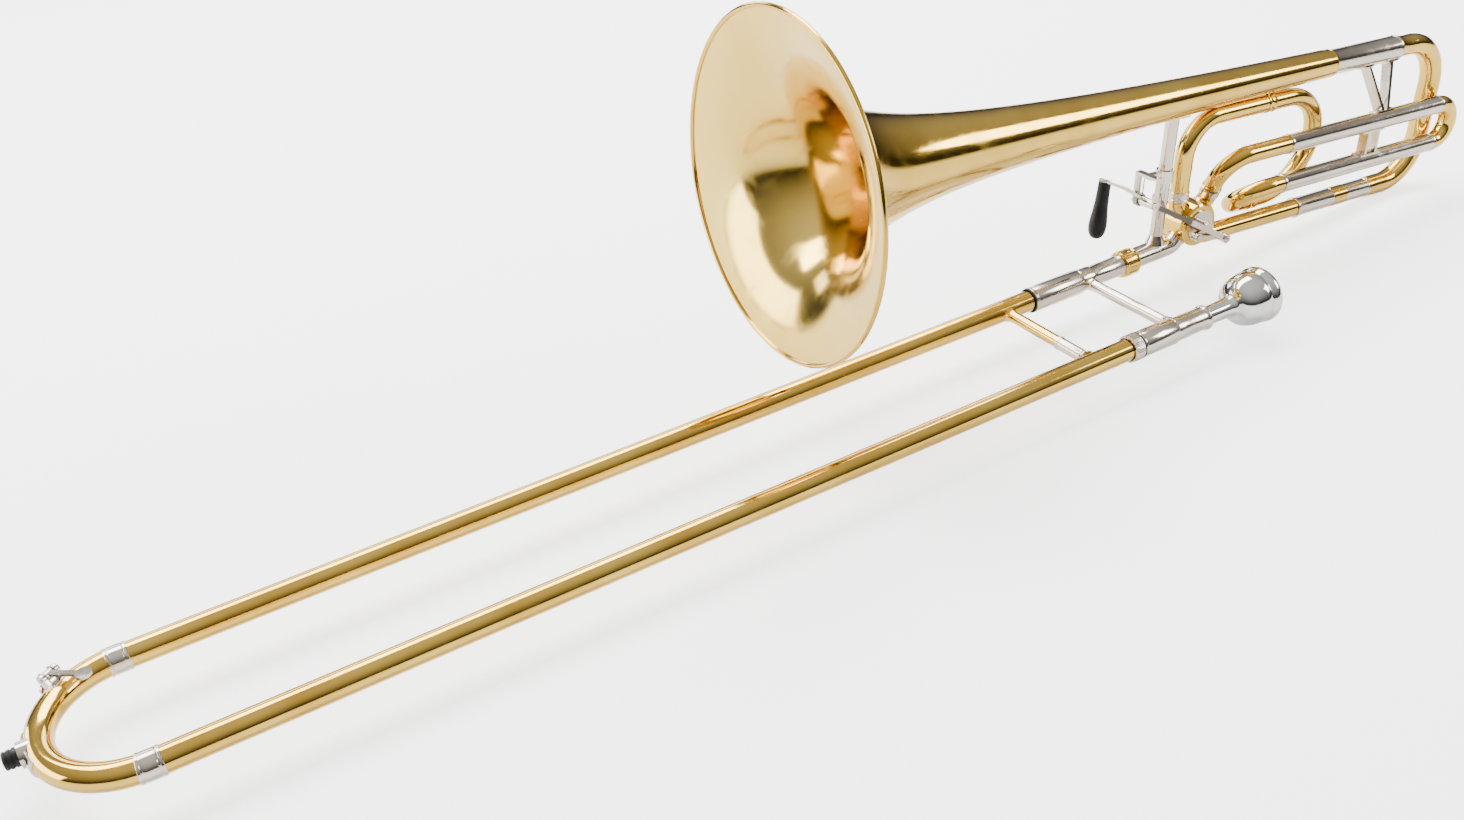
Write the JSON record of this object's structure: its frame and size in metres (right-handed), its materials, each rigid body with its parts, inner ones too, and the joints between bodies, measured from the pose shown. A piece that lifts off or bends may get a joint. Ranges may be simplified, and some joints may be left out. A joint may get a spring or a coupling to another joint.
{
  "type": "trombone",
  "caption": "Tenor trombone with a rotary valve attachment: hand slide with crook and water key, flared bell, two tuning slides, thumb lever and mouthpiece.",
  "frame": {"origin": "middle of the inner slide brace, where the left hand holds the instrument", "axes": "+X along the hand slide towards the player, +Z towards the bell, +Y from the mouthpiece tube to the bell tube"},
  "size_m": [1.1024, 0.2205, 0.277],
  "materials": {
    "lacquered_brass": "clear lacquer over polished yellow brass",
    "nickel_silver": "lacquered nickel silver, warm grey",
    "silver_plate": "bright silver or chrome plate",
    "spring_steel": "drawn spring wire and screws",
    "black_rubber": "moulded black rubber",
    "black_plastic": "polished black plastic",
    "cork": "dark cork and felt"
  },
  "bodies": {
    "bell_and_inner_slide": {"inner_tube_far": "silver_plate", "inner_tube_near": "silver_plate", "cork_barrel_far": "nickel_silver", "cork_barrel_near": "nickel_silver", "barrel_corks": "cork", "barrel_bumpers": "black_rubber", "bell_receiver": "nickel_silver", "mouthpiece_receiver": "nickel_silver", "inner_brace": "nickel_silver", "bell": "lacquered_brass", "bell_rim": "lacquered_brass", "bell_ferrule": "lacquered_brass", "main_upper_sleeve": "nickel_silver", "main_lower_sleeve": "nickel_silver", "main_lower_tube": "lacquered_brass", "gooseneck": "nickel_silver", "bell_brace": "nickel_silver", "valve_casing": "lacquered_brass", "valve_plate": "nickel_silver", "valve_cap": "lacquered_brass", "stop_corks": "cork", "port_ferrules": "nickel_silver", "f_riser_tube": "lacquered_brass", "f_wrap_ferrule": "lacquered_brass", "f_wrap_bow": "lacquered_brass", "f_back_bow": "lacquered_brass", "f_feed_knuckle": "lacquered_brass", "f_feed_tube": "lacquered_brass", "f_upper_sleeve": "nickel_silver", "f_lower_sleeve": "nickel_silver", "v_brace": "nickel_silver", "f_sleeve_brace": "nickel_silver", "lever_bracket": "nickel_silver", "lever_axle": "nickel_silver", "lever_spring": "spring_steel"},
    "bell_lock_nut": {"bell_lock_nut": "lacquered_brass"},
    "slide_lock_ring": {"slide_lock_ring": "nickel_silver"},
    "mouthpiece": {"mouthpiece": "silver_plate"},
    "hand_slide": {"outer_tube_far": "lacquered_brass", "outer_tube_near": "lacquered_brass", "slide_ferrules": "nickel_silver", "crook": "lacquered_brass", "bumper_seat": "nickel_silver", "bumper": "black_rubber", "outer_brace": "lacquered_brass", "outer_brace_sleeve": "nickel_silver", "water_key_saddle": "nickel_silver", "water_key_spring": "spring_steel", "water_key_screw": "spring_steel"},
    "water_key": {"water_key_lever": "nickel_silver", "water_key_cork": "cork"},
    "main_tuning_slide": {"main_bow": "lacquered_brass", "main_legs": "nickel_silver"},
    "f_tuning_slide": {"f_bow": "lacquered_brass", "f_legs": "nickel_silver"},
    "thumb_lever": {"thumb_lever": "nickel_silver", "thumb_pad": "black_plastic"},
    "rotor": {"rotor": "lacquered_brass", "stop_arm": "nickel_silver"},
    "link_rod": {"link_rod": "nickel_silver"}
  },
  "joints": [
    {"name": "hand_slide_travel", "type": "slide", "parent": "bell_and_inner_slide", "child": "hand_slide", "axis": [-1, 0, 0], "range_m": [0, 0.58]},
    {"name": "water_key_hinge", "type": "hinge", "parent": "hand_slide", "child": "water_key", "pos_m": [-0.70569, 0.04037, 0.01074], "axis": [0.7771, 0.6293, 0], "range_deg": [0, 12], "stiffness_Nm_per_rad": 0.05, "springref_deg": -28.65},
    {"name": "main_slide_travel", "type": "slide", "parent": "bell_and_inner_slide", "child": "main_tuning_slide", "axis": [0.9965, 0, -0.084], "range_m": [0, 0.055]},
    {"name": "f_slide_travel", "type": "slide", "parent": "bell_and_inner_slide", "child": "f_tuning_slide", "axis": [0.9965, 0, -0.084], "range_m": [0, 0.1]},
    {"name": "thumb_lever_hinge", "type": "hinge", "parent": "bell_and_inner_slide", "child": "thumb_lever", "pos_m": [0.05552, 0.04575, 0.04384], "axis": [0, -1, 0], "range_deg": [0, 14], "stiffness_Nm_per_rad": 0.3, "springref_deg": -17.19},
    {"name": "rotor_turn", "type": "hinge", "parent": "bell_and_inner_slide", "child": "rotor", "pos_m": [0.10123, 0.04575, 0.0147], "axis": [0, -1, 0], "range_deg": [0, 90.2]},
    {"name": "link_turn", "type": "hinge", "parent": "thumb_lever", "child": "link_rod", "pos_m": [0.11351, 0.02475, 0.00564], "axis": [0, -1, 0], "range_deg": [0, 47.5]},
    {"name": "slide_lock_turn", "type": "hinge", "parent": "bell_and_inner_slide", "child": "slide_lock_ring", "pos_m": [-0.041, -0.04575, 0], "axis": [1, 0, 0], "range_deg": [0, 40]},
    {"name": "lock_nut_turn", "type": "hinge", "parent": "bell_and_inner_slide", "child": "bell_lock_nut", "pos_m": [0.041, 0.04575, 0], "axis": [1, 0, 0], "continuous": true},
    {"name": "mouthpiece_pull", "type": "slide", "parent": "bell_and_inner_slide", "child": "mouthpiece", "axis": [1, 0, 0], "range_m": [0, 0.03]}
  ],
  "couplings": [
    {"joint": "rotor_turn", "follows": "thumb_lever_hinge", "ratio": 6.4357},
    {"joint": "link_turn", "follows": "thumb_lever_hinge", "ratio": 3.3799}
  ]
}
